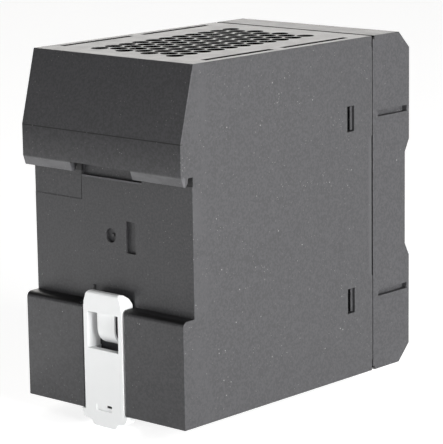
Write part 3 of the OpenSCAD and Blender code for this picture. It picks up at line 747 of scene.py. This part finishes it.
def make_latch():
    latch = block("latch", (-LATCH_HALF, LATCH_HALF), (-0.2, LATCH_FACE),
                  (LATCH_BOTTOM, BLOCK_TOP - 0.3))
    cut(latch, flared_box("y", (-5.35, 5.35), (-29, -19.5), -1, LATCH_FACE, 0.05))
    cut(latch, block_rings((-5.1, 5.1), (-1, LATCH_FACE - 1.8), (-42.8, -28.5)))
    rounded(latch, 0.18, 3)
    side_view = [(0.1, -18), (0.1, -16.6), (0.75, -15.4), (2.2, -14.3), (3.9, -14.15),
                 (LATCH_FACE, -14.6), (LATCH_FACE, HEAD_FOOT), (0.1, HEAD_FOOT)]
    head = prism("head", "x", side_view, -LATCH_HALF, LATCH_HALF)
    front_view = [(-LATCH_HALF, HEAD_FOOT), (-LATCH_HALF, -17), (0.8 - LATCH_HALF, -14.9),
                  (1.6 - LATCH_HALF, -14.0)]
    front_view += [(-x, z) for x, z in reversed(front_view)]
    combine(head, prism("front", "y", front_view, -0.5, LATCH_FACE + 0.5), "INTERSECT")
    rounded(head, 0.22, 3, 20)
    combine(latch, head, "UNION")
    curve = [(3.2, -19.0), *arc(TONGUE_CENTRE, 4.4, 0, -72, 12),
             *reversed(arc(TONGUE_CENTRE, 3.8, 0, -72, 12)), (2.6, -19.0)]
    tongue = prism("tongue", "x", curve, -TONGUE_HALF, TONGUE_HALF)
    combine(latch, rounded(tongue, 0.12, 3, 40), "UNION")
    foot = [*foot_half(), *[(-x, z) for x, z in reversed(foot_half())]]
    combine(latch, rounded(prism("foot", "y", foot, 0.9, LATCH_FACE), 0.18, 3, 30), "UNION")
    rib = block_rings((LATCH_HALF - 0.1, 8.05), (0.65, 1.75), (-40, -24))
    combine(latch, loft("ribs", *on_sides(rib)), "UNION")
    cut(latch, flared_box("y", (-2.6, -0.9), (-43.8, -43.2), -1, LATCH_FACE - 0.2, 0.04))
    cut(latch, block_rings((-2.6, 2.8), (LATCH_FACE - 0.2, LATCH_FACE + 1), (-44.8, -43.25)))
    place(latch, "latch", "rail_latch")


make_latch()


# ---------------------------------------------------------------- terminals, adjuster and lamp

TERMINAL_FACE = -85.2
PANEL_FRONT = -67.6


def make_terminal(name, sign):
    poles = POLES[name]
    half = terminal_half_width(poles)
    z = sorted((sign * (TERMINAL_MID - 8.4), sign * (TERMINAL_MID + 8.4)))
    row = block(name + "_terminals", (-half, half), (TERMINAL_FACE, PANEL_FRONT), z)
    rounded(row, 0.3, 3)
    cuts = []
    for pole in range(poles):
        x = (pole - (poles - 1) / 2) * POLE_PITCH
        wire = (x, sign * (TERMINAL_MID + 2.6))
        release = sorted((sign * (TERMINAL_MID - 4.6), sign * (TERMINAL_MID - 3.0)))
        test = sorted((sign * (TERMINAL_MID - 7.4), sign * (TERMINAL_MID - 5.6)))
        cavity = sorted((sign * (TERMINAL_MID - 7), sign * (TERMINAL_MID + 7)))
        cuts.append([block_rings((x - 3.8, x + 3.8), (TERMINAL_FACE + 4, PANEL_FRONT + 1), cavity)])
        cuts.append([flared_hole("y", wire, 1.9, TERMINAL_FACE + 5, TERMINAL_FACE, 0.75, 40),
                     flared_box("y", (x - 1.8, x + 1.8), release, TERMINAL_FACE + 5, TERMINAL_FACE, 0.2),
                     flared_box("y", (x - 0.25, x + 0.25), test, TERMINAL_FACE + 0.4, TERMINAL_FACE, 0.08)])
    for group in cuts:
        cut(row, *group)
    # Thin grooves where the poles join.
    grooves = []
    for pole in range(1, poles):
        x = (pole - poles / 2) * POLE_PITCH
        grooves.append(flared_box("y", (x - 0.1, x + 0.1), (z[0] - 1, z[1] + 1),
                                  TERMINAL_FACE + 0.35, TERMINAL_FACE, 0.1))
    cut(row, *grooves)
    place(row, "housing", name + "_terminal_body")


make_terminal("output", 1)
make_terminal("input", -1)


def make_rotor():
    """The adjuster's turning face, with one arm of its cross slot longer than the other."""
    tip = -83.6
    profile = [(tip, 1.5), (tip + 0.07, 1.62), (tip + 0.25, 1.75), (-69.8, 1.75)]
    rotor = loft("rotor", spun("y", ADJUSTER, profile))
    depth = (tip - 1, tip + 0.9)
    cut(rotor, block_rings((12, 16), depth, (-5.35, -4.65)))
    cut(rotor, block_rings((13.65, 14.35), depth, (-6, -4)))
    place(rotor, "trimmer", "trimmer_rotor")


make_rotor()

pipe_profile = [(-84.5, 0.6), (-84.44, 1.0), (-84.3, 1.3), (-84.05, 1.5), (-82.2, 1.5), (-82.19, 2.2),
                (-81.2, 2.2), (-81.19, 1.5), (-72.95, 1.5), (-72.8, 1.35)]
place(loft("lamp_lens", spun("y", LAMP, pipe_profile)), "housing", "light_pipe")


# ---------------------------------------------------------------- stage, light and camera

def plain(name, colour, glow):
    """Matt paper with a glow of its own."""
    made, t = material(name)
    tone = t.mix(t.ramp(t.noise(40, 2), 0.3, 0.7), shade(colour, 0.98), shade(colour, 1.0))
    t.finish(Base_Color=tone, Roughness=0.9, Specular_IOR_Level=0.0, Emission_Color=(1, 1, 1, 1),
             Emission_Strength=glow)
    return made


# Strengths: watts for the softboxes, radiance for the rest.
LIGHT = {"backdrop": 3.35, "floor": 0.8, "side": 13.8, "under": 0.04, "high": 0.2, "rear": 2.2}

# The floor is a hair below the latch's foot, the lowest point.
FLOOR_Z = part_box("rail_latch")[0].z - 0.0002
bpy.ops.mesh.primitive_plane_add(size=12, location=(0, 0, FLOOR_Z))
floor = bpy.context.object
floor.name = "floor"
floor.data.materials.append(plain("floor_paper", (0.5, 0.5, 0.5), LIGHT["floor"]))


def softbox(name, position, size, aim=(0, -0.04, 0)):
    """A square area light turned towards the aim, in metres. The camera doesn't see it."""
    light = bpy.data.lights.new(name, "AREA")
    light.shape = "SQUARE"
    light.size = size
    light.energy = LIGHT[name]
    made = bpy.data.objects.new(name, light)
    bpy.context.collection.objects.link(made)
    made.location = position
    made.rotation_mode = "QUATERNION"
    made.rotation_quaternion = (Vector(aim) - Vector(position)).to_track_quat("-Z", "Y")
    made.visible_camera = False


softbox("side", (-0.80, 0.02, 0.10), 0.5)
softbox("under", (0.10, 0.065, -0.0465), 0.12, aim=(0.10, 0.065, 1))
softbox("high", (0.35, 0.65, 0.45), 0.5)
softbox("rear", (-0.30, 0.80, 0.05), 0.5)


GLOW_FROM = (0.656, -0.729, 0.197)


def make_world():
    """White to the camera. As light it is dark, but for a soft glow from beyond the object."""
    world = bpy.data.worlds.new("studio")
    bpy.context.scene.world = world
    world.use_nodes = True
    tree = world.node_tree
    tree.nodes.clear()

    def node(kind, **props):
        made = tree.nodes.new("ShaderNode" + kind)
        for key, value in props.items():
            setattr(made, key, value)
        return made

    way = node("TexCoord")
    dot = node("VectorMath", operation="DOT_PRODUCT")
    dot.inputs[1].default_value = GLOW_FROM
    tree.links.new(way.outputs["Generated"], dot.inputs[0])
    ramp = node("MapRange", interpolation_type="SMOOTHSTEP")
    for key, value in (("From Min", 0.7), ("From Max", 0.95),
                       ("To Min", 0.0), ("To Max", LIGHT["backdrop"])):
        ramp.inputs[key].default_value = value
    tree.links.new(dot.outputs["Value"], ramp.inputs["Value"])
    light = node("Background")
    tree.links.new(ramp.outputs["Result"], light.inputs["Strength"])
    white = node("Background")
    white.inputs["Strength"].default_value = 1.0
    light.inputs["Color"].default_value = (1.0, 0.985, 0.96, 1)
    white.inputs["Color"].default_value = (1, 1, 1, 1)
    path = node("LightPath")
    mix = node("MixShader")
    tree.links.new(path.outputs["Is Camera Ray"], mix.inputs[0])
    tree.links.new(light.outputs[0], mix.inputs[1])
    tree.links.new(white.outputs[0], mix.inputs[2])
    out = node("OutputWorld")
    tree.links.new(mix.outputs[0], out.inputs["Surface"])


make_world()
bpy.context.scene.view_settings.view_transform = "Standard"


# Fitted to the photograph: azimuth, elevation and roll in degrees, place and lens in millimetres.
CAMERA_ANGLES = (221.97, 11.38, -0.837)
CAMERA_PLACE = (-401.44, 405.46, 117.59)
CAMERA_LENS = 188.6


def make_camera():
    """Looks at the rail side and the long side at -X from a little above, as in the photograph."""
    azimuth, elevation, roll = [math.radians(a) for a in CAMERA_ANGLES]
    back = Vector((math.sin(azimuth) * math.cos(elevation), -math.cos(azimuth) * math.cos(elevation),
                   math.sin(elevation)))
    right = Vector((math.cos(azimuth), math.sin(azimuth), 0))
    up = back.cross(right)
    turned = Matrix((right * math.cos(roll) + up * math.sin(roll),
                     up * math.cos(roll) - right * math.sin(roll), back))
    data = bpy.data.cameras.new("camera")
    data.lens = CAMERA_LENS
    data.sensor_width = 36
    data.clip_start = 0.01
    data.clip_end = 20
    camera = bpy.data.objects.new("camera", data)
    bpy.context.collection.objects.link(camera)
    stand = Matrix.Translation(Vector(CAMERA_PLACE) * MM)
    camera.matrix_world = stand @ turned.transposed().to_4x4()
    bpy.context.scene.camera = camera


make_camera()
